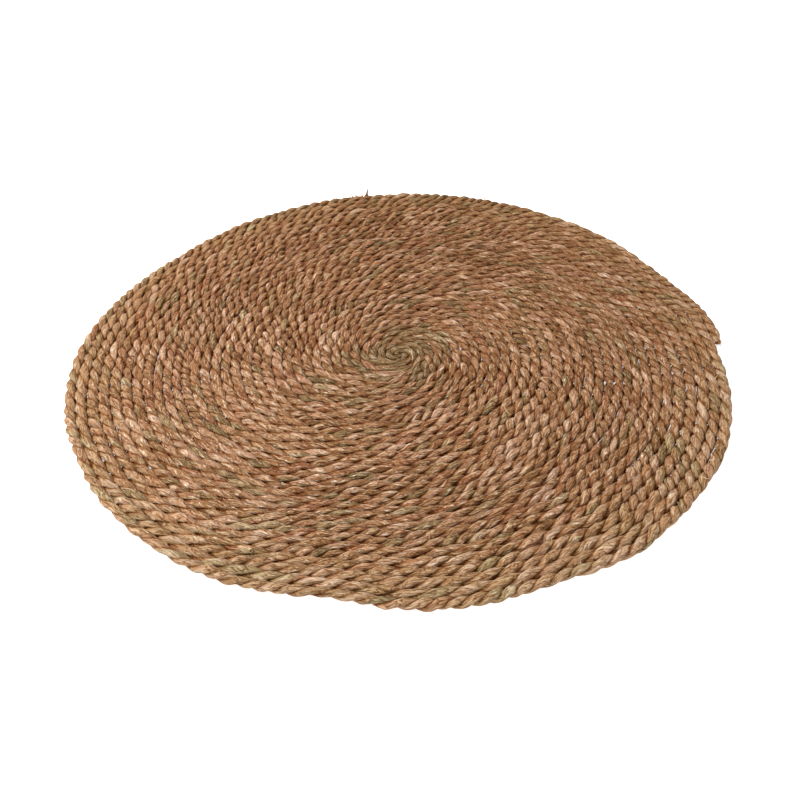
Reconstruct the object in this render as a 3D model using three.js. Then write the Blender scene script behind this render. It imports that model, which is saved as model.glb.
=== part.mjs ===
// A round rug: one long rope of twisted dried leaf, wound flat around its own start and sewn
// row to row, with the rope's end tucked against the edge. It is one piece and lies flat.
// Millimetres, +Z up, the floor at Z = 0, and +Y points to the rug's far side.

import * as THREE from 'three';

// Driving sizes
const RUG_RADIUS = 450; // from the coil's middle to the outside of the rope's end
const ROW_PITCH = 13.5; // from one row's crest to the next
const RUG_HEIGHT = 13; // the rope's height as it lies
const GROOVE_HEIGHT = 8; // from the floor to the valley between two rows
const START_RADIUS = 4; // from the middle to the rope's first crest
const FINE_SHARE = 0.38; // how much narrower than the pitch the rope's first row is
const FINE_TURNS = 3; // the turns in which the rope grows to its full thickness
const STEPS_PER_TURN = 64;
const ROPE_END_DEG = 1; // where the rope ends, counted from +X towards +Y

// The edge isn't truly round: each row is a place where it swells out or lies flat.
const EDGE_SWELLS = [
  { atDeg: 26, outMm: -12, spreadDeg: 7 },
  { atDeg: 142, outMm: 22, spreadDeg: 42 },
  { atDeg: 142, outMm: -26, spreadDeg: 23 },
  { atDeg: 259, outMm: 15, spreadDeg: 28 },
  { atDeg: 259, outMm: -17, spreadDeg: 8 },
  { atDeg: 304, outMm: 9, spreadDeg: 5 },
  { atDeg: 326, outMm: 16, spreadDeg: 18 },
];

// The outermost row's free side, from under its crest down to the floor, in shares of the
// row's pitch outwards and of the rug's height upwards.
const RIM_PROFILE = [
  { out: 0.38, up: 0.7 },
  { out: 0.5, up: 0.42 },
  { out: 0.4, up: 0.14 },
  { out: 0.28, up: 0 },
];

const LEAF_ROPE = { color: '#977052', roughness: 0.85, metalness: 0 };

// The crest's radius in a truly round coil: an even spiral, with finer rows at its start.
function coilRadius(turn) {
  const lostTurns = FINE_SHARE * FINE_TURNS * (1 - Math.exp(-turn / FINE_TURNS));
  return START_RADIUS + ROW_PITCH * (turn - lostTurns);
}

const OUTER_CREST = RUG_RADIUS - ROW_PITCH / 2;
const TURNS = (OUTER_CREST - START_RADIUS) / ROW_PITCH + FINE_SHARE * FINE_TURNS;
const LAST = Math.round(TURNS * STEPS_PER_TURN);

// The rope runs outwards clockwise, seen from above, and its last step is at the rope's end.
function stepAngle(step) {
  return THREE.MathUtils.degToRad(ROPE_END_DEG) + ((LAST - step) * 2 * Math.PI) / STEPS_PER_TURN;
}

// How far the edge stands out of the even spiral: a sum of rounded swells and flats.
function edgeSwell(angle) {
  const degrees = THREE.MathUtils.radToDeg(angle);
  return EDGE_SWELLS.reduce((sum, { atDeg, outMm, spreadDeg }) => {
    const away = THREE.MathUtils.euclideanModulo(degrees - atDeg + 180, 360) - 180;
    return sum + outMm * Math.exp(-0.5 * (away / spreadDeg) ** 2);
  }, 0);
}

// The inner rows are round, and the outer ones follow the edge more and more.
function crestRadius(step) {
  const round = coilRadius(step / STEPS_PER_TURN);
  return round + edgeSwell(stepAngle(step)) * (round / OUTER_CREST) ** 2;
}

// The valley on a row's inner side lies midway to the row before it, and the first turn's
// valley winds out of the middle.
function grooveRadius(step) {
  if (step < STEPS_PER_TURN) {
    return (grooveRadius(STEPS_PER_TURN) * step) / STEPS_PER_TURN;
  }
  return (crestRadius(step) + crestRadius(step - STEPS_PER_TURN)) / 2;
}

// Collects the corners and triangles of one closed surface.
class Surface {
  points = [];

  triangles = [];

  corner(angle, radius, height) {
    this.points.push(radius * Math.cos(angle), radius * Math.sin(angle), height);
    return this.points.length / 3 - 1;
  }

  triangle(a, b, c) {
    this.triangles.push(a, b, c);
  }

  quad(a, b, c, d) {
    this.triangle(a, b, c);
    this.triangle(a, c, d);
  }

  geometry() {
    const geometry = new THREE.BufferGeometry();
    geometry.setAttribute('position', new THREE.Float32BufferAttribute(this.points, 3));
    geometry.setIndex(this.triangles);
    geometry.computeVertexNormals();
    return geometry;
  }
}

// The rope's rows: a ridge that winds out from the middle, each row between two valleys.
function addRows(surface, grooves, crests) {
  for (let step = 0; step < LAST; step += 1) {
    const next = step + 1;
    surface.quad(grooves[step], grooves[next], crests[next], crests[step]);
    if (next + STEPS_PER_TURN <= LAST) {
      const outer = step + STEPS_PER_TURN;
      surface.quad(crests[step], crests[next], grooves[outer + 1], grooves[outer]);
    }
  }
}

// The middle, inside the first turn, and the small upright face where the ridge begins.
function addMiddle(surface, grooves, crests) {
  for (let step = 1; step < STEPS_PER_TURN; step += 1) {
    surface.triangle(grooves[0], grooves[step + 1], grooves[step]);
  }
  surface.triangle(grooves[0], crests[0], grooves[STEPS_PER_TURN]);
}

// The last turn's free side and the flat underside that the rug lies on.
function addRimAndUnderside(surface, rim) {
  const middle = surface.corner(0, 0, 0);
  const feet = rim.at(-1);
  for (let step = 0; step < STEPS_PER_TURN; step += 1) {
    for (let ring = 0; ring + 1 < rim.length; ring += 1) {
      const [upper, lower] = [rim[ring], rim[ring + 1]];
      surface.quad(upper[step], upper[step + 1], lower[step + 1], lower[step]);
    }
    const beforeEnd = step + 1 === STEPS_PER_TURN;
    surface.triangle(middle, feet[step], beforeEnd ? feet[0] : feet[step + 1]);
    if (beforeEnd) {
      surface.triangle(feet[0], feet[step], feet[step + 1]);
    }
  }
}

// The upright cut face of the rope's end, where the edge steps in by one row.
function addRopeEnd(surface, groove, rim) {
  const start = rim.map((ring) => ring[0]);
  const end = rim.map((ring) => ring[STEPS_PER_TURN]);
  const corners = [groove, ...start, ...end.reverse()];
  const contour = corners.map((corner) => {
    const [x, y, z] = surface.points.slice(3 * corner, 3 * corner + 3);
    return new THREE.Vector2(Math.hypot(x, y), z);
  });
  const clockwise = THREE.ShapeUtils.isClockWise(contour);
  for (const [a, b, c] of THREE.ShapeUtils.triangulateShape(contour, [])) {
    const sameWay = THREE.ShapeUtils.isClockWise([contour[a], contour[b], contour[c]]) === clockwise;
    surface.triangle(corners[a], corners[sameWay ? b : c], corners[sameWay ? c : b]);
  }
}

function coiledRopeGeometry() {
  const surface = new Surface();
  const steps = Array.from({ length: LAST + 1 }, (_, step) => step);
  const grooves = steps.map((s) => surface.corner(stepAngle(s), grooveRadius(s), GROOVE_HEIGHT));
  const crests = steps.map((s) => surface.corner(stepAngle(s), crestRadius(s), RUG_HEIGHT));
  const lastTurn = steps.slice(LAST - STEPS_PER_TURN);
  const rim = [
    crests.slice(LAST - STEPS_PER_TURN),
    ...RIM_PROFILE.map(({ out, up }) => lastTurn.map((s) => {
      const radius = crestRadius(s) + out * ROW_PITCH;
      return surface.corner(stepAngle(s), radius, up * RUG_HEIGHT);
    })),
  ];
  addRows(surface, grooves, crests);
  addMiddle(surface, grooves, crests);
  addRimAndUnderside(surface, rim);
  addRopeEnd(surface, grooves[LAST], rim);
  return surface.geometry();
}

// The rug stands with the middle of its outer box on the origin.
function coiledRope() {
  const mesh = new THREE.Mesh(coiledRopeGeometry(), new THREE.MeshStandardMaterial(LEAF_ROPE));
  mesh.name = 'coiled_rope';
  mesh.geometry.computeBoundingBox();
  const middle = mesh.geometry.boundingBox.getCenter(new THREE.Vector3());
  mesh.position.set(-middle.x, -middle.y, 0);
  return mesh;
}

const rug = new THREE.Group();
rug.add(coiledRope());

export default rug;
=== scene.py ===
"""A round rug: one rope of twisted dried leaf, wound flat around its start and sewn row to row.

The rope is a profile of two strands carried along the coil, worked out as whole arrays.
Metres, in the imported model's frame: +Z up, the floor at Z = 0, +Y to the rug's far side.
"""

import logging
import math
from dataclasses import dataclass, field
from enum import Enum
from functools import partial
from typing import Any, Callable

import bpy
import numpy as np
from mathutils import Matrix, Vector
from numpy.typing import NDArray


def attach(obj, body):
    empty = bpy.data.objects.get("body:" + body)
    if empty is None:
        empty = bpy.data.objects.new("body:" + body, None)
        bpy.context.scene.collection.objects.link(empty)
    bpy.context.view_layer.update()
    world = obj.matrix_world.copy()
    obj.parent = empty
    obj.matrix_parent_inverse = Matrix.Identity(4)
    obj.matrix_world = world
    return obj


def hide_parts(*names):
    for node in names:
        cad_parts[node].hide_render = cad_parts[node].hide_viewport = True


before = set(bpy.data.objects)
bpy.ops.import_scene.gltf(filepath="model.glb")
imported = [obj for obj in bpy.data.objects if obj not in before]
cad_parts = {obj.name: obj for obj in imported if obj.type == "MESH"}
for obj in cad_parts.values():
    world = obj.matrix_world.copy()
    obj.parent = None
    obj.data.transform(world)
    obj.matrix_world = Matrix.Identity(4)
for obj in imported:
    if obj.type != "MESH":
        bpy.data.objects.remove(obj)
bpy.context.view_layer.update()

Floats = NDArray[np.float64]
Whole = NDArray[np.int64]
Span = tuple[float, float]
Piece = bpy.types.Object
Feeds = dict[str | int, Any] | tuple[Any, ...]

LOG = logging.getLogger("round_rug")
ROPE_NODE = "coiled_rope"
BODY = "root"
STRAND_MAP = "strand_run"
BAKE_MAP = "OFBake"
# the painted shade that the rope's finish reads: darker near the strands' notches and low between rows
PAINTED_SHADE = "notch"
FIBRE_NO = "fibre_no"
MILLIMETRE = 0.001
LATTICE = 256
UPWARDS = np.array([0, 0, 1.0])
NO_TRIANGLES = np.empty((0, 3), int)


class Twist(Enum):
    """Which way the strands wind about each other, as the sign of their turn along the rope."""

    LEFT_HANDED = -1
    RIGHT_HANDED = 1


class LeafShade(Enum):
    """The shades that leaves of the rope's plant dry to, with the share of leaves up to each."""

    UMBER = (0.0, "#90683F")
    CHESTNUT = (0.12, "#9E7750")
    TAN = (0.35, "#AA825B")
    FAWN = (0.70, "#B28C69")
    SAND = (0.92, "#BC987A")
    STRAW = (1.0, "#D0AE92")


class GreenShade(Enum):
    """The shades of leaves that kept some green, with the share of such leaves up to each."""

    MOSS = (0.0, "#88704A")
    OLIVE = (0.35, "#967B54")
    KHAKI = (0.75, "#A48963")
    PALE_OLIVE = (1.0, "#B59D7A")


class FibreShade(Enum):
    """The shades of torn leaf ends, with the number that a fibre of each shade has."""

    DARK_BROWN = (0.0, "#5A3A26")
    BROWN = (0.35, "#A3744E")
    TAN = (0.7, "#C79C72")
    PALE_STRAW = (1.0, "#EED2AE")


def linear(code: str) -> tuple[float, float, float, float]:
    """Turns an sRGB colour into linear light.

    Args:
        code: Six hex digits after a number sign.

    Returns:
        Red, green, blue and full alpha.
    """
    shares = [int(code[at : at + 2], 16) / 255 for at in (1, 3, 5)]
    lit = [s / 12.92 if s <= 0.04045 else ((s + 0.055) / 1.055) ** 2.4 for s in shares]
    return lit[0], lit[1], lit[2], 1.0


def add_node(tree: bpy.types.NodeTree, kind: str, feeds: Feeds, **settings: Any) -> bpy.types.Node:
    """Adds a node with its settings and links.

    Args:
        tree: The material's node tree.
        kind: Blender's name for the node after ShaderNode, or a Math node's operation in capitals.
        feeds: What each input gets, by name or number or in order: a node, which stands for its first
            output, a socket or a plain value.
        settings: The node's own properties.

    Returns:
        The new node.
    """
    node = tree.nodes.new("ShaderNodeMath" if kind.isupper() else "ShaderNode" + kind)
    if kind.isupper():
        node.operation = kind
    for name, value in settings.items():
        setattr(node, name, value)
    for name, value in feeds.items() if isinstance(feeds, dict) else enumerate(feeds):
        source = value.outputs[0] if isinstance(value, bpy.types.Node) else value
        if isinstance(source, bpy.types.NodeSocket):
            tree.links.new(source, node.inputs[name])
        else:
            node.inputs[name].default_value = source
    return node


def set_stops(ramp: bpy.types.ColorRamp, shades: type[Enum]) -> None:
    """Gives a colour ramp its stops.

    Args:
        ramp: The ramp of a Color Ramp node, which comes with two stops.
        shades: Place and sRGB colour of each stop, in order.
    """
    while len(ramp.elements) < len(shades):
        ramp.elements.new(1.0)
    for element, shade in zip(ramp.elements, shades):
        element.position, code = shade.value
        element.color = linear(code)


def eased(share: Floats) -> Floats:
    """A smooth step from 0 to 1 for the share s of the way: 3 s^2 - 2 s^3."""
    return share * share * (3 - 2 * share)


def ease_in(value: Floats, start: float, end: float) -> Floats:
    """A smooth step from 0 at start to 1 at end."""
    return eased(np.clip((value - start) / (end - start), 0, 1))


def wander(seed: int, along: Floats, spacing: float, lanes: tuple[int, ...] = ()) -> Floats:
    """Smooth random values from -1 to 1 along a line.

    A random value stands at each knot. Between two knots it eases from one to the other:
    a (1 - e) + b e for the eased share e of the way.

    Args:
        seed: Starts the random draw.
        along: Each sample's place on the line, in metres.
        spacing: From knot to knot, in metres.
        lanes: Shape of the independent lanes at each sample.

    Returns:
        Values of shape (samples, *lanes).
    """
    knot = np.floor(along / spacing).astype(int)
    share = along / spacing - knot
    ease = eased(share).reshape(-1, *(1 for _ in lanes))
    heights = np.random.default_rng(seed).uniform(-1, 1, (knot.max() + 2, *lanes))
    return heights[knot] * (1 - ease) + heights[knot + 1] * ease


def wander_plane(seed: int, x: Floats, y: Floats, spacing: Span) -> Floats:
    """Smooth random values from -1 to 1 over a plane, eased between the corners of a lattice.

    The lattice repeats after LATTICE cells each way.

    Args:
        seed: Starts the random draw.
        x: Each sample's place, in metres.
        y: Each sample's place, in metres.
        spacing: From lattice corner to lattice corner along x and along y, in metres.

    Returns:
        One value for each sample.
    """
    places = np.stack(np.broadcast_arrays(x / spacing[0], y / spacing[1]))
    knot = np.floor(places).astype(int)
    share = places - knot
    ease_x, ease_y = eased(share)
    heights = np.random.default_rng(seed).uniform(-1, 1, (LATTICE, LATTICE))
    i, j = knot % LATTICE
    right, above = (knot + 1) % LATTICE
    near = heights[i, j] * (1 - ease_x) + heights[right, j] * ease_x
    far = heights[i, above] * (1 - ease_x) + heights[right, above] * ease_x
    return near * (1 - ease_y) + far * ease_y


def unit(vectors: Floats) -> Floats:
    """Vectors of length one, along the last axis."""
    return vectors / np.linalg.norm(vectors, axis=-1, keepdims=True)


def degrees_from(angle: Floats, at_deg: Floats | float) -> Floats:
    """Degrees from one direction to another, from -180 to 180."""
    return np.mod(angle - at_deg + 180, 360) - 180


def mesh_object(name: str, points: Floats, quads: Whole, triangles: Whole) -> Piece:
    """Puts a surface into a new object at the origin.

    Args:
        name: The piece's name.
        points: Corners, of shape (n, 3).
        quads: Corner numbers, of shape (q, 4), counted so that faces point outwards.
        triangles: Corner numbers, of shape (t, 3).

    Returns:
        The object, smooth shaded and linked to the scene.
    """
    mesh = bpy.data.meshes.new(name)
    mesh.from_pydata(points.astype(np.float32), [], [*quads.tolist(), *triangles.tolist()])
    mesh.shade_smooth()
    mesh.validate()
    piece = bpy.data.objects.new(name, mesh)
    bpy.context.scene.collection.objects.link(piece)
    return piece


def add_map(piece: Piece, name: str, corners: Floats) -> None:
    """Adds a UV map, from one place for each face corner."""
    piece.data.uv_layers.new(name=name).uv.foreach_set("vector", corners.astype(np.float32).ravel())


def add_value(piece: Piece, name: str, values: Floats) -> None:
    """Adds a number at each mesh corner point, for a material to read."""
    added = piece.data.attributes.new(name, "FLOAT", "POINT")
    added.data.foreach_set("value", values.astype(np.float32).ravel())


@dataclass(frozen=True)
class Tint:
    """A second colour: where it sets in and is full, its share there, and its shade."""

    between: Span
    share: float
    shade: str


@dataclass(frozen=True)
class TwistedLeaf:
    """Dried leaf, rolled by hand into strands: matte skins with fine veins along them.

    Each strand shows a few leaf strips side by side. Every strip has dried to its own shade and is
    streaked along its veins. Painted shade darkens it near the notch where it dives under the other
    strand and low between the rows, painted shadow lines run along the leaf edges, and the rug's near
    side is painted lighter. Depths are added to the power that the leaf's colour is raised to.
    """

    leaf_width: float = 22 * MILLIMETRE
    leaf_length: float = 45 * MILLIMETRE
    leaf_slant: float = -0.62  # strips run along the bead, which lies askew on the rope
    leaf_offset: float = 9.0  # leaf lengths by which one strip is set along from the next, at most
    vein_size: Span = (1.0 * MILLIMETRE, 12 * MILLIMETRE)  # real veins, 0.5 mm apart, are too fine to show
    wrinkle_size: Span = (3.2 * MILLIMETRE, 18 * MILLIMETRE)
    crumple_size: Span = (1.4 * MILLIMETRE, 4.5 * MILLIMETRE)
    stain_size: float = 35 * MILLIMETRE
    stain: Tint = Tint((0.5, 0.75), 0.45, "#9C6B45")
    green_middle: Span = (0.030, 0.085)
    green_share: Span = (0.9, 0.1)  # of all leaves, in the first rows and further out
    red: Tint = Tint((0.76, 0.96), 0.7, "#AA7854")
    gold: Tint = Tint((0.35, 0.43), 0.2, "#A58A60")
    wrinkle_weight: float = 0.5
    streak_range: Span = (0.75, 1.75)
    streak_depth: float = 2.5
    rim_calm: float = 0.5  # how far the streaks even out along the edge
    even_depth: float = 0.95
    near_side_light_from: Span = (-0.45, 0.45)  # the near side is painted lighter, as if lit more strongly, and the far side hardly
    near_side_light_depth: Span = (-0.28, -0.02)
    edge_level: float = 0.5  # of the wrinkles' range, which is where one leaf's edge lies on the next
    edge_width: float = 0.045
    # painted shadow along the leaf edges
    edge_shadow_depth: float = 0.85
    painted_shade_depth: float = 1.25
    vein_relief: float = 0.3
    crumple_relief: float = 0.8
    edge_relief: float = -0.4
    bump_depth: float = 2.6 * MILLIMETRE
    vein_range: Span = (0.2, 0.8)
    roughness: Span = (0.5, 0.75)
    shine_range: Span = (0.1, 0.6)
    shine: float = 0.32
    skin_ior: float = 1.45

    def grain(
        self, add: Callable[..., bpy.types.Node], place: tuple[Any, Any, Any], size: Span, **look: float
    ) -> bpy.types.Node:
        """Adds a noise that is drawn out along the strand.

        Args:
            add: Adds a node to the material.
            place: What gives the place across the strand, the place along it and the leaf's own number.
            size: Size of the pattern across the strand and along it, in metres.
            look: The noise's other inputs by name.

        Returns:
            The noise.
        """
        wide = add("DIVIDE", (place[0], size[0]))
        long = add("DIVIDE", (place[1], size[1]))
        spot = add("CombineXYZ", (wide, long, place[2]))
        return add("TexNoise", {"Vector": spot, "Scale": 1.0, **look})

    def material(self, middle: Span) -> bpy.types.Material:
        """Builds the finish.

        Args:
            middle: The coil's middle on the floor, from which the greener rows are measured.

        Returns:
            The material.
        """
        made = bpy.data.materials.new("dried_leaf_hand_twisted")
        made.use_nodes = True
        tree = made.node_tree
        add = partial(add_node, tree)
        shader = tree.nodes["Principled BSDF"]

        # Place on the strand: across it and along it, in metres, and which leaf that is
        strand = add("UVMap", (), uv_map=STRAND_MAP)
        run = add("SeparateXYZ", (strand,))
        along = run.outputs[1]
        across = add("MULTIPLY_ADD", (along, self.leaf_slant, run))
        strips = add("DIVIDE", (across, self.leaf_width))
        strip_no = add("FLOOR", (strips,))
        in_strip = add("FRACT", (strips,))
        offset = add("TexWhiteNoise", {"W": strip_no}, noise_dimensions="1D").outputs["Value"]
        spread = add("MULTIPLY_ADD", (offset, self.leaf_offset, in_strip))
        lengths = add("MULTIPLY_ADD", (along, 1 / self.leaf_length, spread))
        length_no = add("FLOOR", (lengths,))
        leaf_no = add("CombineXYZ", (strip_no, length_no))
        chance = add("TexWhiteNoise", {"Vector": leaf_no}, noise_dimensions="2D").outputs["Color"]
        chances = add("SeparateColor", (chance,))
        shade_no, kind_no, own_no = (chances.outputs[number] for number in range(3))

        # Streaks along the veins, and lines where one leaf's edge lies on the next, painted dark as the
        # shadow under the edge
        veins = self.grain(add, (across, along, own_no), self.vein_size, Detail=3.0, Roughness=0.6)
        wrinkles = self.grain(add, (across, along, own_no), self.wrinkle_size, Detail=1.0, Distortion=0.6)
        crumples = self.grain(
            add, (across, along, kind_no), self.crumple_size, Detail=2.0, Roughness=0.6, Distortion=0.8
        )
        both = add("MULTIPLY_ADD", (wrinkles, self.wrinkle_weight, veins))
        all_three = add("ADD", (both, crumples))
        streaks = add("MapRange", (all_three, *self.streak_range, self.streak_depth, 0.0))
        from_edge = add("SUBTRACT", (wrinkles, self.edge_level))
        off_edge = add("ABSOLUTE", (from_edge,))
        edges = add("MapRange", (off_edge, 0.0, self.edge_width, 1.0, 0.0))

        # Shade of each leaf, greener in the first rows and golden along the edge, with broad stains
        where = add("TexCoord", ()).outputs["Object"]
        from_middle = add("VectorMath", (where, (*middle, 0.0)), operation="SUBTRACT")
        flat = add("VectorMath", (from_middle, (1.0, 1.0, 0.0)), operation="MULTIPLY")
        radius = add("VectorMath", (flat,), operation="LENGTH").outputs["Value"]
        inner = add("MapRange", (radius, *self.green_middle, *self.green_share))
        stains = add("TexNoise", {"Vector": where, "Scale": 1 / self.stain_size, "Detail": 3.0})
        tints = ((kind_no, self.red), (radius, self.gold), (stains, self.stain))
        shares = [add("MapRange", (source, *tint.between, 0.0, tint.share)) for source, tint in tints]
        greener = add("MAXIMUM", (inner, shares[1]))
        is_green = add("LESS_THAN", (kind_no, greener))
        brown = add("ValToRGB", (shade_no,))
        set_stops(brown.color_ramp, LeafShade)
        green = add("ValToRGB", (shade_no,))
        set_stops(green.color_ramp, GreenShade)
        colour = add("Mix", {0: is_green, 6: brown, 7: green}, data_type="RGBA").outputs[2]
        for share, (_, tint) in zip(shares, tints):
            feeds = {0: share, 6: colour, 7: linear(tint.shade)}
            colour = add("Mix", feeds, data_type="RGBA").outputs[2]

        # How deep the colour is: streaks that are calmer along the edge, the near side painted lighter,
        # painted shadow lines along leaf edges, and painted shade near the notches and between rows
        calm = add("MapRange", (radius, *self.gold.between, 0.0, self.rim_calm))
        calmed = add("Mix", {0: calm, 2: streaks, 3: self.even_depth}, data_type="FLOAT")
        # Painted light: the rug's near side is lighter, as if the light fell more strongly there
        to_far_side = add("SeparateXYZ", (where,)).outputs[1]
        near_side_light = add("MapRange", (to_far_side, *self.near_side_light_from, *self.near_side_light_depth))
        # Painted shade from the rope: darker near the notches and low between the rows
        notch = add("Attribute", (), attribute_name=PAINTED_SHADE).outputs["Fac"]
        dried = add("ADD", (calmed, near_side_light))
        edge_shadowed = add("MULTIPLY_ADD", (edges, self.edge_shadow_depth, dried))
        depth = add("MULTIPLY_ADD", (notch, self.painted_shade_depth, edge_shadowed))
        skin = add("Gamma", (colour, depth))

        # Veins and leaf edges stand in relief, and the smoother skins shine a little, with no shine where
        # the painted shade lies
        relief = wrinkles
        reliefs = ((veins, self.vein_relief), (crumples, self.crumple_relief), (edges, self.edge_relief))
        for pattern, weight in reliefs:
            relief = add("MULTIPLY_ADD", (pattern, weight, relief))
        bump = add("Bump", {"Height": relief, "Distance": self.bump_depth, "Strength": 1.0})
        rough = add("MapRange", (veins, *self.vein_range, *self.roughness))
        shiny = add("MapRange", (notch, *self.shine_range, self.shine, 0.0))
        shader.inputs["IOR"].default_value = self.skin_ior
        tree.links.new(skin.outputs[0], shader.inputs["Base Color"])
        tree.links.new(bump.outputs[0], shader.inputs["Normal"])
        tree.links.new(rough.outputs[0], shader.inputs["Roughness"])
        tree.links.new(shiny.outputs[0], shader.inputs["Specular IOR Level"])
        return made


@dataclass(frozen=True)
class FrayedFibre:
    """Torn ends of dried leaf: thin, dull strands from pale straw to dark brown."""

    speck_size: float = 2.5 * MILLIMETRE
    speck_range: Span = (0.3, 0.7)
    speck_shade: Span = (0.8, 1.1)
    roughness: float = 0.7

    def material(self) -> bpy.types.Material:
        """Builds the finish.

        Returns:
            The material.
        """
        made = bpy.data.materials.new("dried_leaf_frayed")
        made.use_nodes = True
        tree = made.node_tree
        add = partial(add_node, tree)
        shader = tree.nodes["Principled BSDF"]
        number = add("Attribute", (), attribute_name=FIBRE_NO).outputs["Fac"]
        shades = add("ValToRGB", (number,))
        set_stops(shades.color_ramp, FibreShade)
        where = add("TexCoord", ()).outputs["Object"]
        specks = add("TexNoise", {"Vector": where, "Scale": 1 / self.speck_size})
        shade = add("MapRange", (specks, *self.speck_range, *self.speck_shade))
        feeds = {0: 1.0, 6: shades, 7: shade}
        speckled = add("Mix", feeds, data_type="RGBA", blend_type="MULTIPLY")
        tree.links.new(speckled.outputs[2], shader.inputs["Base Color"])
        shader.inputs["Roughness"].default_value = self.roughness
        return made


@dataclass(frozen=True)
class EdgeSwell:
    """A place where the rug's edge swells out of the even coil or lies flat."""

    at_deg: float
    out: float
    spread_deg: float


@dataclass(frozen=True)
class Coil:
    """The line that the rope follows: an even spiral with finer rows at its start and an uneven edge."""

    rug_radius: float = 450 * MILLIMETRE
    row_pitch: float = 13.5 * MILLIMETRE
    start_radius: float = 4 * MILLIMETRE
    fine_share: float = 0.38
    fine_turns: float = 3.0
    steps_per_turn: int = 64
    thin_radius: float = 305 * MILLIMETRE  # where the rope is thinnest and its rows lie closest
    thin_spread: float = 48 * MILLIMETRE
    thin_share: float = 0.13
    rope_end_deg: float = 1.0
    swells: tuple[EdgeSwell, ...] = (
        EdgeSwell(26, -12 * MILLIMETRE, 7),
        EdgeSwell(142, 22 * MILLIMETRE, 42),
        EdgeSwell(142, -26 * MILLIMETRE, 23),
        EdgeSwell(259, 15 * MILLIMETRE, 28),
        EdgeSwell(259, -17 * MILLIMETRE, 8),
        EdgeSwell(304, 9 * MILLIMETRE, 5),
        EdgeSwell(326, 16 * MILLIMETRE, 18),
    )

    @property
    def outer_crest(self) -> float:
        """Radius of the last row's crest in a truly round coil."""
        return self.rug_radius - self.row_pitch / 2

    @property
    def turns(self) -> float:
        """Turns of rope, to a whole step of the solid model."""
        turns = (self.outer_crest - self.start_radius) / self.row_pitch + self.fine_share * self.fine_turns
        return round(turns * self.steps_per_turn) / self.steps_per_turn

    def angle(self, turn: Floats) -> Floats:
        """Angle from +X at a turn: the rope runs outwards clockwise and ends at the rope's end."""
        return math.radians(self.rope_end_deg) + (self.turns - turn) * 2 * np.pi

    def edge_swell(self, angle: Floats) -> Floats:
        """How far the edge stands out of the even spiral: a sum of bell-shaped swells and flats."""
        away = [degrees_from(np.degrees(angle), s.at_deg) for s in self.swells]
        return sum(s.out * np.exp(-0.5 * (a / s.spread_deg) ** 2) for s, a in zip(self.swells, away))

    def radius(self, turn: Floats) -> Floats:
        """Radius of the rope's line at a turn.

        An even spiral that loses a share of its first turns, r0 + p (t - s f (1 - exp(-t / f))), drawn
        together where the rope is thin by c w tanh(x) exp(-(x / 2)^2) at x spreads w from there, plus
        the edge's swell times the square of the share of the way out.

        Args:
            turn: Turns from the coil's start.

        Returns:
            Radii in metres.
        """
        lost = self.fine_share * self.fine_turns * (1 - np.exp(-turn / self.fine_turns))
        even = self.start_radius + self.row_pitch * (turn - lost)
        from_thin = (even - self.thin_radius) / self.thin_spread
        drawn_in = self.thin_share * self.thin_spread * np.tanh(from_thin) * np.exp(-((from_thin / 2) ** 2))
        return even - drawn_in + self.edge_swell(self.angle(turn)) * (even / self.outer_crest) ** 2

    def middle(self) -> Floats:
        """Where the coil's middle lies when the middle of the rug's outer box is the origin.

        Returns:
            x and y in metres.
        """
        steps = self.turns - np.arange(self.steps_per_turn + 1) / self.steps_per_turn
        out = self.radius(steps) + self.row_pitch / 2
        edge = np.stack([out * np.cos(self.angle(steps)), out * np.sin(self.angle(steps))])
        return -(edge.min(axis=1) + edge.max(axis=1)) / 2


@dataclass(frozen=True)
class RopeRun:
    """The rope's sections in order, each one with its place on the rope and on the floor."""

    turn: Floats
    run: Floats
    phase: Floats
    centre: Floats
    outward: Floats
    pitch: Floats


@dataclass(frozen=True)
class LoosePatch:
    """A patch of the rug where the rows lie less tight and the floor shows between them."""

    at_deg: float
    spread_deg: float
    at_radius: float
    spread: float
    share: float


@dataclass(frozen=True)
class Change:
    """A random change along the rope: how much at most, from place to place, and what starts the draw."""

    most: float
    gap: float
    seed: int

    def along(self, run: Floats, lanes: tuple[int, ...] = ()) -> Floats:
        """The change at each place on the rope."""
        return self.most * wander(self.seed, run, self.gap, lanes)


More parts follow.
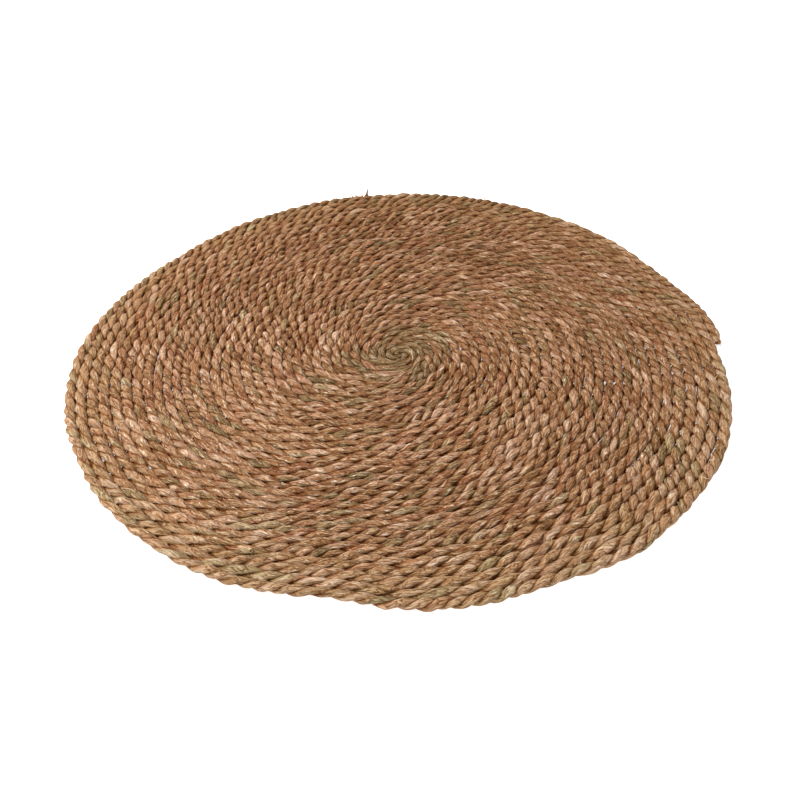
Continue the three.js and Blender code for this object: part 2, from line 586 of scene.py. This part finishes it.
@dataclass
class CoiledRope:
    """The rug's one rope: two strands of twisted leaf that wind about each other along the coil."""

    coil: Coil = field(default_factory=Coil)
    twist: Twist = Twist.LEFT_HANDED
    height: float = 13 * MILLIMETRE
    strand_share: float = 0.348  # half a strand's thickness, in row pitches
    strand_apart: float = 0.61  # a strand's middle to the rope's line, in halves of its thickness
    inner_apart: float = 0.28  # the same in the first turns, where the strands are hardly twisted
    twisted_turns: Span = (1.0, 7.0)
    fill_above: float = 0.1  # how far the strands give way into the gaps between rows, on top
    fill_below: float = 1.0  # and down by the floor
    low_band: float = 0.35  # heights from on top to down by the floor, both ways, in half pitches
    least_reach: float = 0.3  # how far out a side reaches at least, in half pitches
    overfill: float = 1.1  # how far the underside is stretched, in half pitches
    gives_way: float = 1.0  # how far out a point gives way to the next row, in half pitches
    softness: float = 0.3
    sway: float = 0.63  # how far a strand swings sideways, as a share of its swing up and down
    flattened: float = 0.57  # height of the rope's upper half, of a round rope's
    line_height: float = 0.565  # height of the rope's line, of the rug's
    floor_gap: float = 0.2 * MILLIMETRE
    crown_power: int = 4
    crease: float = 0.16  # depth of the notch between the strands, as a share of the way to the rope's line
    crease_power: int = 8
    # Painted shade, which darkens the leaf's colour near the notches and low down between the rows
    notch_painted_shade: float = 0.57
    notch_shade_power: int = 6
    valley_painted_shade: float = 0.9
    valley_from: float = 0.68  # height where the painted shade between the rows starts, of the rug's
    valley_full: float = 0.35
    plump: float = 0.08  # how much a strand swells where it lies on top
    inner_half_lay: float = 20.5 * MILLIMETRE  # from strand to strand along the rope
    outer_half_lay: float = 24.5 * MILLIMETRE
    slack_deg: float = 242.0  # the side of the rug where the rope is twisted less
    slack_share: float = 0.16
    lay_change: Change = Change(0.3, 130 * MILLIMETRE, 13)
    bead_change: Change = Change(0.32, 35 * MILLIMETRE, 14)
    traced_per_turn: int = 720
    sections_per_half_lay: int = 9
    faces_per_strand: int = 12
    bands: int = 5
    edge_out: float = 1.8 * MILLIMETRE  # the last rows are sewn less tightly
    edge_from: float = 0.75
    row_wander: float = 1.5 * MILLIMETRE
    row_gap: float = 90 * MILLIMETRE
    row_seed: int = 11
    rope_wander: Change = Change(0.6 * MILLIMETRE, 35 * MILLIMETRE, 12)
    lift: Change = Change(0.9 * MILLIMETRE, 100 * MILLIMETRE, 24)
    fold_depth: float = 0.2  # of a strand's radius
    fold_size: Span = (4.5 * MILLIMETRE, 18 * MILLIMETRE)
    fold_slant: float = -0.62  # folds run along the bead, which lies askew on the rope
    fold_seeds: tuple[int, int] = (25, 26)
    thick_change: Change = Change(0.2, 24 * MILLIMETRE, 21)
    uneven: Change = Change(0.10, 220 * MILLIMETRE, 22)  # how much thicker one strand is than the other
    start_fold: float = 0.8  # how much thicker the rope is at its start, where it is folded over
    start_taper: float = 40 * MILLIMETRE
    start_draw: float = 3.2 * MILLIMETRE  # how far the start is drawn in, to close the coil's eye
    start_turns: float = 0.3
    end_thinned: float = 0.5
    end_taper: float = 24 * MILLIMETRE
    bake_strips: int = 14
    loosening: Change = Change(1.0, 12 * MILLIMETRE, 15)
    loose_range: Span = (0.1, 0.7)
    loose: tuple[LoosePatch, ...] = (
        LoosePatch(-12, 30, 0.34, 0.11, 0.66),
        LoosePatch(-8, 18, 0.10, 0.025, 0.8),
        LoosePatch(197, 22, 0.31, 0.09, 0.65),
    )

    @property
    def strand_radius(self) -> float:
        """Half a strand's thickness where the rows lie evenly."""
        return self.strand_share * self.coil.row_pitch

    @property
    def width(self) -> float:
        """Width of the rope with its two strands laid side by side."""
        return 4 * self.strand_radius

    def cuts(self, rope: RopeRun) -> Whole:
        """Numbers of the sections where the rope is cut into lengths, its start and its end among them."""
        return np.linspace(0, len(rope.run) - 1, self.bands + 1).astype(int)

    def lay_out(self) -> RopeRun:
        """Places the rope's sections along the coil, evenly in the strands' turn about each other.

        The coil is traced finely and measured. The strands' phase grows by pi for every half lay of
        rope, and a section stands wherever it has grown by a set step.

        Returns:
            The sections from the rope's start to its end.
        """
        coil = self.coil
        turn = np.linspace(0, coil.turns, int(coil.turns * self.traced_per_turn))
        out_share = turn / coil.turns
        angle = coil.angle(turn)
        radius = coil.radius(turn)
        pitch = (coil.radius(turn + 1) - coil.radius(np.maximum(turn - 1, 0))) / np.minimum(turn + 1, 2)
        x, y = radius * np.cos(angle), radius * np.sin(angle)
        step = np.hypot(np.diff(x), np.diff(y))
        run = np.concatenate([[0], np.cumsum(step)])
        radius = radius + self.row_wander * wander_plane(self.row_seed, x, y, (self.row_gap, self.row_gap))
        radius = radius + self.rope_wander.along(run)
        radius = radius - self.start_draw * np.exp(-turn / self.start_turns)
        radius = radius + self.edge_out * ease_in(out_share, self.edge_from, 1)
        half_lay = self.inner_half_lay + (self.outer_half_lay - self.inner_half_lay) * out_share**2
        slack = self.slack_share * np.cos(angle - math.radians(self.slack_deg))
        half_lay = half_lay * (1 + slack * out_share)
        half_lay = half_lay * (1 + self.lay_change.along(run)) * (1 + self.bead_change.along(run))
        phase = np.concatenate([[0], np.cumsum(np.pi * step / half_lay[1:])])
        wanted = np.arange(0, phase[-1], np.pi / self.sections_per_half_lay)
        turn, run, radius, pitch = (np.interp(wanted, phase, a) for a in (turn, run, radius, pitch))
        angle = coil.angle(turn)
        centre = np.stack([radius * np.cos(angle), radius * np.sin(angle)], axis=-1)
        ahead = unit(np.gradient(centre, axis=0))
        outward = np.stack([-ahead[:, 1], ahead[:, 0]], axis=-1)
        return RopeRun(turn, run, wanted, centre + coil.middle(), outward, pitch)

    def apart(self, rope: RopeRun) -> Floats:
        """How far the strands stand apart at each section, in strand radii."""
        twisted = ease_in(rope.turn, *self.twisted_turns)
        return self.inner_apart + (self.strand_apart - self.inner_apart) * twisted

    def looseness(self, rope: RopeRun) -> Floats:
        """How loose the rope lies at each section.

        A sum of bells over the floor, one for each patch, times a random share that changes from
        bead to bead.

        Args:
            rope: The rope's sections.

        Returns:
            0 where the rows are tight, up to 1 in the middle of a patch.
        """
        x, y = (rope.centre - self.coil.middle()).T
        angle, radius = np.degrees(np.arctan2(y, x)), np.hypot(x, y)
        loose = np.zeros_like(radius)
        for patch in self.loose:
            away = degrees_from(angle, patch.at_deg)
            near = ((away / patch.spread_deg) ** 2 + ((radius - patch.at_radius) / patch.spread) ** 2) / 2
            loose = loose + patch.share * np.exp(-near)
        return loose * ease_in(self.loosening.along(rope.run), *self.loose_range)

    def thickness(self, rope: RopeRun) -> Floats:
        """How thick the strands are: a share of the rows' pitch, more at the start and less at the end.

        Args:
            rope: The rope's sections.

        Returns:
            A strand's radius at each section, in metres.
        """
        start = 1 + self.start_fold * (1 - ease_in(rope.run, 0, self.start_taper))
        end = 1 - self.end_thinned * ease_in(rope.run, rope.run[-1] - self.end_taper, rope.run[-1])
        return self.strand_share * rope.pitch * start * end

    def last_turn(self, rope: RopeRun) -> NDArray[np.bool_]:
        """Whether each section lies in the last turn, whose outer side is free."""
        return rope.turn[:, None, None] > self.coil.turns - 1

    def press(self, rope: RopeRun, aside: Floats, above: Floats) -> Floats:
        """Presses the rope against its neighbours.

        Where a side of the rope doesn't reach its neighbour, it is stretched into the gap, its
        underside more than its top and less where the rows are loose. Past a set share of half a pitch
        a point gives way smoothly.

        Args:
            rope: The rope's sections.
            aside: Distance of each surface point from the rope's line, outwards.
            above: Height of each surface point over the rope's line.

        Returns:
            The pressed distances. The last turn's free side is stretched as its top is, all over.
        """
        half = rope.pitch[:, None, None] / 2
        low = ease_in(-above / half, -self.low_band, self.low_band)
        tight = 1 - self.looseness(rope)[:, None, None]
        free = self.last_turn(rope)
        pressed = np.zeros_like(aside)
        for way in (1, -1):
            out = np.maximum(way * aside, 0)
            least = self.least_reach * half
            reach = np.maximum(out.max(axis=(1, 2), keepdims=True), least)
            low_reach = np.maximum((out * low).max(axis=(1, 2), keepdims=True), least)
            top = 1 + self.fill_above * np.maximum(half / reach - 1, 0)
            under = 1 + self.fill_below * tight * np.maximum(self.overfill * half / low_reach - 1, 0)
            share = out / half * np.where(free & (way > 0), top, top + (under - top) * low)
            soft = self.gives_way + self.softness * np.tanh((share - self.gives_way) / self.softness)
            pressed = pressed + way * half * np.where(share > self.gives_way, soft, share)
        return pressed

    def strand_angles(self, apart: Floats) -> Floats:
        """Angles round a strand's middle from one notch to the other, where it meets its fellow."""
        notch = np.pi - np.arccos(apart)
        return notch[..., None] * np.linspace(-1, 1, self.faces_per_strand + 1)

    def swelling(self, rope: RopeRun, phase: Floats, around: Floats) -> Floats:
        """How much thicker a strand is at each point: its own changes, leaf folds, and more on top.

        Args:
            rope: The rope's sections.
            phase: Each strand's turn about the rope's line, of shape (sections, 2).
            around: Angles round each strand's middle.

        Returns:
            Shares of the strand's radius, of shape (sections, 2 strands, angles).
        """
        own = self.thick_change.along(rope.run, (2, 1))
        own = own + self.uneven.along(rope.run)[:, None, None] * np.array([[1.0], [-1.0]])
        along = rope.run[:, None]
        across = around[:, 0] * self.strand_radius + self.fold_slant * along
        folds = [wander_plane(seed, across, along, self.fold_size) for seed in self.fold_seeds]
        return own + self.plump * np.sin(phase)[:, :, None] + self.fold_depth * np.stack(folds, axis=1)

    def surface(self, rope: RopeRun) -> tuple[Floats, Floats]:
        """Works out the rope's surface.

        A section is two circles of radius a whose middles swing about the rope's line on a narrow
        ellipse: k a (w cos f, sin f) for the phase f and the sway w, and the opposite for the second
        strand. Each circle is drawn from notch to notch with the radius a (1 + c s), where the strand's
        swelling s fades out at the notches with c. The section's upper half is flattened, its notches
        are drawn in towards the rope's line, and its sides are pressed against its neighbours.

        Args:
            rope: The rope's sections.

        Returns:
            Points of shape (sections, 2 strands, angles, 3), with both notches of each strand, and the
            painted shade of each point, from 0 to 1: darker near the notches and low down between two rows.
        """
        phase = self.twist.value * rope.phase[:, None] + np.array([0, np.pi])
        swing = np.stack([self.sway * np.cos(phase), np.sin(phase)])
        turned = np.arctan2(swing[1], swing[0])[:, :, None]
        apart = self.apart(rope)[:, None] * np.hypot(*swing)
        around = self.strand_angles(apart)
        to_notch = np.abs(np.linspace(-1, 1, self.faces_per_strand + 1))
        crown = 1 - to_notch**self.crown_power
        thick = self.thickness(rope)[:, None, None]
        size = thick * (1 + crown * self.swelling(rope, phase, around))
        far = apart[:, :, None] * thick + size * np.cos(around)
        side = size * np.sin(around)
        creased = 1 - self.crease * to_notch**self.crease_power
        aside = (far * np.cos(turned) - side * np.sin(turned)) * creased
        above = far * np.sin(turned) + side * np.cos(turned)
        above = np.where(above > 0, self.flattened, 1.0) * above * creased
        aside = self.press(rope, aside, above)
        level = self.line_height * self.height + self.lift.along(rope.run)[:, None, None]
        above = np.maximum(above + level, self.floor_gap)
        flat = rope.centre[:, None, None, :] + rope.outward[:, None, None, :] * aside[..., None]
        # Painted shade: darker near the notches between the strands, and low down between the rows except on
        # the last turn's free side
        in_notch = self.notch_painted_shade * to_notch**self.notch_shade_power
        between_rows_shade = ease_in(-above, -self.valley_from * self.height, -self.valley_full * self.height)
        free = (aside > 0) & self.last_turn(rope)
        shade = 1 - (1 - in_notch) * (1 - self.valley_painted_shade * np.where(free, 0, between_rows_shade))
        return np.concatenate([flat, above[..., None]], axis=-1), shade

    def band(self, name: str, rope: RopeRun, points: Floats, shade: Floats, first: int, last: int) -> Piece:
        """Makes one length of the rope as a closed tube.

        Args:
            name: The piece's name.
            rope: The rope's sections.
            points: The rope's surface.
            shade: The painted shade of each point of it, darker near the notches and low between rows.
            first: Number of the length's first section.
            last: Number of its last section.

        Returns:
            The piece, with the maps and values that its finish reads.
        """
        faces = self.faces_per_strand
        ring = 2 * faces
        count = last - first + 1
        part = points[first : last + 1]
        ends = part[[0, -1]].mean(axis=(1, 2))
        corners = np.concatenate([part[:, :, :faces].reshape(-1, 3), ends])
        along, around = np.meshgrid(np.arange(count - 1), np.arange(ring), indexing="ij")
        after = (around + 1) % ring
        quads = np.stack([along * ring + around, along * ring + after], axis=-1)
        quads = np.concatenate([quads, quads[..., ::-1] + ring], axis=-1).reshape(-1, 4)
        spokes = np.arange(ring)
        start = np.stack([np.full(ring, count * ring), np.roll(spokes, -1), spokes], axis=-1)
        end = np.stack([np.full(ring, count * ring + 1), spokes, np.roll(spokes, -1)], axis=-1)
        end[:, 1:] += (count - 1) * ring
        piece = mesh_object(name, corners, quads, np.concatenate([start, end]))
        self.mark_notches(piece, ring, count)

        # Map for the finish: metres across the strand, the second strand one metre on, and along it
        width = self.strand_angles(np.array(self.strand_apart)) * self.strand_radius
        across = (np.array([[0.0], [1.0]]) + width)[:, :, None]
        left, right = across[:, :-1].reshape(ring, 1), across[:, 1:].reshape(ring, 1)
        place = rope.run[first : last + 1]
        u = np.concatenate([left, right, right, left], axis=1)[None].repeat(count - 1, axis=0)
        v = np.stack([place[:-1], place[:-1], place[1:], place[1:]], axis=-1)[:, None].repeat(ring, axis=1)
        caps = np.zeros((6 * ring, 2))
        caps[: 3 * ring, 1] = place[0]
        caps[3 * ring :, 1] = place[-1]
        add_map(piece, STRAND_MAP, np.concatenate([np.stack([u, v], axis=-1).reshape(-1, 2), caps]))
        self.add_bake_map(piece, count, ring)
        # The painted shade goes to the finish; the middles of both end caps get full shade
        add_value(piece, PAINTED_SHADE, np.concatenate([shade[first : last + 1, :, :faces].ravel(), [1, 1]]))
        return piece

    def mark_notches(self, piece: Piece, ring: int, count: int) -> None:
        """Marks the edges along both notches and round both ends as sharp.

        Args:
            piece: The length of rope.
            ring: Points round a section.
            count: Sections of the length.
        """
        mesh = piece.data
        pairs = np.empty(2 * len(mesh.edges), np.int32)
        mesh.edges.foreach_get("vertices", pairs)
        low, high = np.sort(pairs.reshape(-1, 2), axis=1).T
        in_notch = (low % (ring // 2) == 0) & (high - low == ring) & (high < count * ring)
        at_ends = (low // ring == high // ring) & ((low // ring == 0) | (low // ring == count - 1))
        sharp = mesh.attributes.new("sharp_edge", "BOOLEAN", "EDGE")
        sharp.data.foreach_set("value", in_notch | at_ends)

    def add_bake_map(self, piece: Piece, count: int, ring: int) -> None:
        """Lays the tube out in strips, one above the other, with both ends in the strip that is left.

        Args:
            piece: The length of rope.
            count: Sections of the length.
            ring: Points round a section.
        """
        margin_u, margin_v, cap_radius = 0.01, 0.03, 0.4
        rows = self.bake_strips + 1
        per_strip = math.ceil((count - 1) / self.bake_strips)
        strip, place = np.divmod(np.arange(count - 1), per_strip)
        u = (place[:, None] + np.array([0, 0, 1, 1])) / per_strip * (1 - 2 * margin_u) + margin_u
        v = (np.arange(ring)[:, None] + np.array([0, 1, 1, 0])) / ring * (1 - 2 * margin_v) + margin_v
        u = u[:, None].repeat(ring, axis=1)
        v = (strip[:, None, None] + v[None]) / rows
        turn = 2 * np.pi * np.arange(ring + 1) / ring
        rim = np.stack([np.cos(turn), np.sin(turn)], axis=-1) * cap_radius / rows
        hub = np.zeros((ring, 2))
        last_row = (rows - 0.5) / rows
        start = np.stack([hub, rim[1:], rim[:-1]], axis=1) + [0.25, last_row]
        end = np.stack([hub, rim[:-1], rim[1:]], axis=1) + [0.75, last_row]
        tube = np.stack([u, v], axis=-1).reshape(-1, 2)
        add_map(piece, BAKE_MAP, np.concatenate([tube, start.reshape(-1, 2), end.reshape(-1, 2)]))

    def build(self, finish: TwistedLeaf) -> tuple[list[Piece], RopeRun, Floats]:
        """Builds the rope in lengths and dresses them.

        Args:
            finish: The leaf's finish.

        Returns:
            The pieces, the rope's sections and its surface.
        """
        rope = self.lay_out()
        points, shade = self.surface(rope)
        x, y = self.coil.middle()
        leaf = finish.material((float(x), float(y)))
        cuts = self.cuts(rope)
        pieces = []
        for number, (first, last) in enumerate(zip(cuts[:-1], cuts[1:]), 1):
            piece = self.band(f"rope_length_{number}", rope, points, shade, first, last)
            piece.data.materials.append(leaf)
            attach(piece, BODY)
            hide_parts(ROPE_NODE)
            pieces.append(piece)
        return pieces, rope, points


@dataclass(frozen=True)
class Fibres:
    """Where a set of fibres starts, which way each one goes, and its size."""

    root: Floats
    ahead: Floats
    up: Floats
    length: Floats
    width: Floats
    lift: Floats
    curl: Floats
    shade: Floats


@dataclass(frozen=True)
class EdgeTuft:
    """A few torn leaf ends that stand out of the outermost row in one place."""

    at_deg: float
    spread_deg: float
    count: int
    length_mm: float
    width_mm: float
    rise: float
    shade: float


@dataclass(frozen=True)
class FibreSet:
    """Fibres over the top: starts to draw, what starts the draw, and least and most length and width."""

    count: int
    seed: int
    length: Span
    width: Span


@dataclass
class LooseLeaf:
    """Torn leaf ends that stand off the rope: slivers and hairs over the top, tufts at its end and edge.

    A single number for how fibres differ is the usual spread of a random draw, a pair its ends.
    """

    slivers: FibreSet = FibreSet(
        280, 31, (6 * MILLIMETRE, 17 * MILLIMETRE), (0.8 * MILLIMETRE, 2.2 * MILLIMETRE)
    )
    hairs: FibreSet = FibreSet(
        420, 32, (4 * MILLIMETRE, 11 * MILLIMETRE), (0.25 * MILLIMETRE, 0.6 * MILLIMETRE)
    )
    end_seed: int = 33  # the tufts along the edge have the numbers after it
    slew: float = 0.35  # turn away from the strand, in radians
    least_upward: float = 0.55  # upward share of the direction that the skin under a fibre faces
    lift: Span = (0.02, 0.4)
    lift_power: float = 1.5
    curl: float = 0.25
    pale: Span = (0.2, 1.0)
    end_fibres: int = 46
    end_length_mm: Span = (3, 11)
    end_width_mm: Span = (0.3, 0.9)
    end_fan: tuple[float, float, float] = (0.35, 0.35, 0.21)
    end_lift: float = 0.15
    end_curl: float = 0.2
    end_pale: Span = (0.0, 0.55)
    tuft_fan: tuple[float, float, float] = (0.4, 0.4, 0.2)
    tuft_long: Span = (0.5, 1.1)
    tuft_wide: Span = (0.7, 1.2)
    tuft_outward: float = 0.6  # a tuft starts where the rope's skin faces outwards and up
    tuft_upward: float = 0.8
    tuft_pale: float = 0.08
    steps: int = 4
    tip_narrowed: float = 0.67
    thickness: float = 0.25 * MILLIMETRE
    lowest: float = 0.1 * MILLIMETRE
    highest: float = 22 * MILLIMETRE
    tufts: tuple[EdgeTuft, ...] = (
        EdgeTuft(96.5, 0.4, 2, 11, 4.4, 1.8, 0.05),
        EdgeTuft(98.5, 2.0, 7, 12, 3.2, 0.35, 0.6),
        EdgeTuft(70.5, 1.2, 8, 12, 0.8, 0.7, 0.35),
        EdgeTuft(242.5, 1.5, 9, 8, 0.5, 0.2, 0.5),
        EdgeTuft(250.5, 1.5, 8, 7, 0.5, 0.2, 0.5),
    )

    def on_rope(self, points: Floats, wanted: FibreSet) -> Fibres:
        """Chooses starts on the rope, with fibres that follow its strands, and drops those underneath.

        Args:
            points: The rope's surface.
            wanted: The set of fibres.

        Returns:
            The fibres.
        """
        count = wanted.count
        rng = np.random.default_rng(wanted.seed)
        sections, _, angles, _ = points.shape
        at = rng.integers(2, sections - 2, count)
        strand = rng.integers(0, 2, count)
        column = rng.integers(2, angles - 2, count)
        root = points[at, strand, column]
        ahead = unit(points[at + 1, strand, column] - points[at - 1, strand, column])
        aside = points[at, strand, column + 1] - points[at, strand, column - 1]
        up = unit(np.cross(aside, ahead))
        way = rng.choice([-1.0, 1.0], count)
        slew = rng.normal(0, self.slew, count)
        side = np.cross(up, ahead)
        ahead = unit(ahead * (way * np.cos(slew))[:, None] + side * np.sin(slew)[:, None])
        fibres = Fibres(
            root, ahead, up, rng.uniform(*wanted.length, count), rng.uniform(*wanted.width, count),
            rng.uniform(*self.lift, count) ** self.lift_power, rng.normal(0, self.curl, count),
            rng.uniform(*self.pale, count),
        )
        keep = up[:, 2] > self.least_upward
        return Fibres(*(value[keep] for value in vars(fibres).values()))

    def at_end(self, points: Floats) -> Fibres:
        """Fans fibres out of the rope's cut end.

        Args:
            points: The rope's surface.

        Returns:
            The fibres.
        """
        rng = np.random.default_rng(self.end_seed)
        count = self.end_fibres
        ring = points[-2].reshape(-1, 3)
        root = (ring[rng.integers(0, len(ring), count)] + ring.mean(axis=0)) / 2
        step = points[-1].mean(axis=(0, 1)) - points[-6].mean(axis=(0, 1))
        ahead = unit(unit(step) + rng.normal(0, 1, (count, 3)) * self.end_fan)
        up = unit(np.cross(np.cross(ahead, UPWARDS), ahead))
        return Fibres(
            root, ahead, up, rng.uniform(*self.end_length_mm, count) * MILLIMETRE,
            rng.uniform(*self.end_width_mm, count) * MILLIMETRE, rng.normal(0, self.end_lift, count),
            rng.normal(0, self.end_curl, count), rng.uniform(*self.end_pale, count),
        )

    def at_edge(self, rope: RopeRun, points: Floats, tuft: EdgeTuft, seed: int) -> Fibres:
        """Stands one tuft of leaf ends out of the outermost row.

        Args:
            rope: The rope's sections.
            points: The rope's surface.
            tuft: The tuft.
            seed: Starts the random draw.

        Returns:
            The fibres.
        """
        rng = np.random.default_rng(seed)
        count = tuft.count
        last = np.flatnonzero(rope.turn > rope.turn[-1] - 1)
        angle = np.degrees(np.arctan2(rope.centre[last, 1], rope.centre[last, 0]))
        wanted = tuft.at_deg + rng.normal(0, tuft.spread_deg / 2, count)
        at = last[np.abs(degrees_from(angle[None], wanted[:, None])).argmin(axis=1)]
        ring = points[at].reshape(count, -1, 3)
        outward = np.concatenate([rope.outward[at], np.zeros((count, 1))], axis=1)
        facing = outward * self.tuft_outward + UPWARDS * self.tuft_upward
        root = ring[np.arange(count), (ring * facing[:, None]).sum(axis=-1).argmax(axis=1)]
        ahead = unit(outward + UPWARDS * tuft.rise + rng.normal(0, 1, (count, 3)) * self.tuft_fan)
        up = unit(np.cross(np.cross(ahead, UPWARDS), ahead))
        return Fibres(
            root - ahead * MILLIMETRE, ahead, up,
            tuft.length_mm * MILLIMETRE * rng.uniform(*self.tuft_long, count),
            tuft.width_mm * MILLIMETRE * rng.uniform(*self.tuft_wide, count),
            rng.normal(0, self.end_lift, count), rng.normal(0, self.curl, count),
            np.clip(tuft.shade + rng.normal(0, self.tuft_pale, count), 0, 1),
        )

    def ribbons(self, name: str, fibres: Fibres) -> Piece:
        """Makes fibres as one joined mesh.

        Each fibre's line is root + ahead l t + up l (lift t^2) + side l (curl t^2) for t from 0 to 1.
        A flat diamond, narrowing to a third at the tip, is carried along it and closed at both ends.

        Args:
            name: The piece's name.
            fibres: The fibres.

        Returns:
            The piece.
        """
        count, steps = len(fibres.root), self.steps
        t = np.linspace(0, 1, steps)[None, :, None]
        side = np.cross(fibres.up, fibres.ahead)
        bend = fibres.up * fibres.lift[:, None] + side * fibres.curl[:, None]
        long = fibres.length[:, None, None]
        line = fibres.root[:, None] + fibres.ahead[:, None] * long * t + bend[:, None] * long * t**2
        half = fibres.width[:, None, None] / 2 * (1 - self.tip_narrowed * t)
        thin = np.minimum(self.thickness, fibres.width)[:, None, None] / 2
        wide, deep = side[:, None] * half, fibres.up[:, None] * thin
        ring = np.stack([line + wide, line + deep, line - wide, line - deep], axis=2)
        corners = ring.reshape(-1, 3)
        corners[:, 2] = np.clip(corners[:, 2], self.lowest, self.highest)
        base = (np.arange(count) * steps * 4)[:, None, None]
        along, around = np.meshgrid(np.arange(steps - 1) * 4, np.arange(4), indexing="ij")
        after = (around + 1) % 4
        sides = np.stack([along + around, along + 4 + around, along + 4 + after, along + after], axis=-1)
        ends = np.array([[0, 1, 2, 3], [3, 2, 1, 0]]) + np.array([[0], [4 * (steps - 1)]])
        quads = (np.concatenate([sides.reshape(-1, 4), ends])[None] + base).reshape(-1, 4)
        piece = mesh_object(name, corners, quads, NO_TRIANGLES)
        add_value(piece, FIBRE_NO, np.repeat(fibres.shade, steps * 4))
        return piece

    def build(self, rope: RopeRun, points: Floats, finish: FrayedFibre) -> list[Piece]:
        """Builds every loose piece and dresses it.

        Args:
            rope: The rope's sections.
            points: The rope's surface.
            finish: The torn leaf's finish.

        Returns:
            The pieces.
        """
        sets = {
            "leaf_slivers": self.on_rope(points, self.slivers),
            "leaf_hairs": self.on_rope(points, self.hairs),
            "rope_end_tuft": self.at_end(points),
        }
        for number, tuft in enumerate(self.tufts, 1):
            sets[f"edge_tuft_{number}"] = self.at_edge(rope, points, tuft, self.end_seed + number)
        made = [self.ribbons(name, fibres) for name, fibres in sets.items()]
        look = finish.material()
        for piece in made:
            piece.data.materials.append(look)
            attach(piece, BODY)
        return made


@dataclass
class Studio:
    """A pale floor, soft light from above and the left, and a camera that looks down across the rug."""

    image_px: float = 800.0
    focal_px: float = 1074.89
    sensor: float = 36.0
    camera_distance: float = 1.4957
    camera_elevation_deg: float = 37.124
    camera_pitch_deg: float = 39.304
    camera_yaw_deg: float = -0.026
    camera_roll_deg: float = -1.479
    floor_side: float = 14.0
    floor_cells: int = 8
    floor_shade: str = "#E6E6E6"
    floor_roughness: float = 0.9
    floor_glow: float = 0.85
    lamp_place: tuple[float, float, float] = (-1.9, 0.15, 2.1)
    lamp_size: float = 1.6
    lamp_watts: float = 119
    room_shade: str = "#FFF3E6"
    room_strength: float = 0.595

    def add_camera(self, middle: Floats) -> None:
        """Stands the camera before the rug.

        Args:
            middle: The coil's middle on the floor.
        """
        rise = math.radians(self.camera_elevation_deg)
        away = self.camera_distance * np.array([0, -math.cos(rise), math.sin(rise)])
        place = Matrix.Translation([*middle, 0] + away)
        turns = ((-self.camera_yaw_deg, "Z"), (90 - self.camera_pitch_deg, "X"), (self.camera_roll_deg, "Z"))
        for degrees, axis in turns:
            place = place @ Matrix.Rotation(math.radians(degrees), 4, axis)
        lens = bpy.data.cameras.new("camera")
        lens.sensor_width = self.sensor
        lens.lens = self.focal_px / self.image_px * self.sensor
        camera = bpy.data.objects.new("camera", lens)
        camera.matrix_world = place
        bpy.context.scene.collection.objects.link(camera)
        bpy.context.scene.camera = camera

    def add_floor(self) -> None:
        """Lays the floor: a flat square grid of matte white board, lit a little from below."""
        cells = self.floor_cells
        row = cells + 1
        side = np.linspace(-self.floor_side / 2, self.floor_side / 2, row)
        x, y = np.meshgrid(side, side, indexing="ij")
        points = np.stack([x, y, np.zeros_like(x)], axis=-1).reshape(-1, 3)
        i, j = np.meshgrid(np.arange(cells), np.arange(cells), indexing="ij")
        first = i * row + j
        quads = np.stack([first, first + row, first + row + 1, first + 1], axis=-1).reshape(-1, 4)
        floor = mesh_object("floor", points, quads, NO_TRIANGLES)
        made = bpy.data.materials.new("matte_white_board")
        made.use_nodes = True
        shader = made.node_tree.nodes["Principled BSDF"]
        shader.inputs["Base Color"].default_value = linear(self.floor_shade)
        shader.inputs["Roughness"].default_value = self.floor_roughness
        shader.inputs["Emission Color"].default_value = linear("#FFFFFF")
        shader.inputs["Emission Strength"].default_value = self.floor_glow
        floor.data.materials.append(made)

    def add_light(self) -> None:
        """Hangs one broad soft light above and to the left of the rug, and lights the room evenly."""
        lamp = bpy.data.lights.new("soft_light", "AREA")
        lamp.shape = "DISK"
        lamp.size = self.lamp_size
        lamp.energy = self.lamp_watts
        light = bpy.data.objects.new("soft_light", lamp)
        light.location = self.lamp_place
        light.rotation_euler = Vector(self.lamp_place).to_track_quat("Z", "Y").to_euler()
        bpy.context.scene.collection.objects.link(light)
        world = bpy.data.worlds.new("even_room")
        world.use_nodes = True
        room = world.node_tree.nodes["Background"]
        room.inputs["Color"].default_value = linear(self.room_shade)
        room.inputs["Strength"].default_value = self.room_strength
        bpy.context.scene.world = world

    def build(self, middle: Floats) -> None:
        """Sets the scene.

        Args:
            middle: The coil's middle on the floor.
        """
        self.add_camera(middle)
        self.add_floor()
        self.add_light()
        bpy.context.scene.view_settings.view_transform = "Standard"


def main() -> None:
    """Builds the rope, its loose leaf ends and the studio, and reports each piece."""
    logging.basicConfig(level=logging.INFO)
    rope = CoiledRope()
    lengths, run, points = rope.build(TwistedLeaf())
    strays = LooseLeaf().build(run, points, FrayedFibre())
    Studio().build(rope.coil.middle())
    for piece in [*lengths, *strays]:
        LOG.info("%s: %d faces", piece.name, len(piece.data.polygons))


if __name__ == "__main__":
    main()
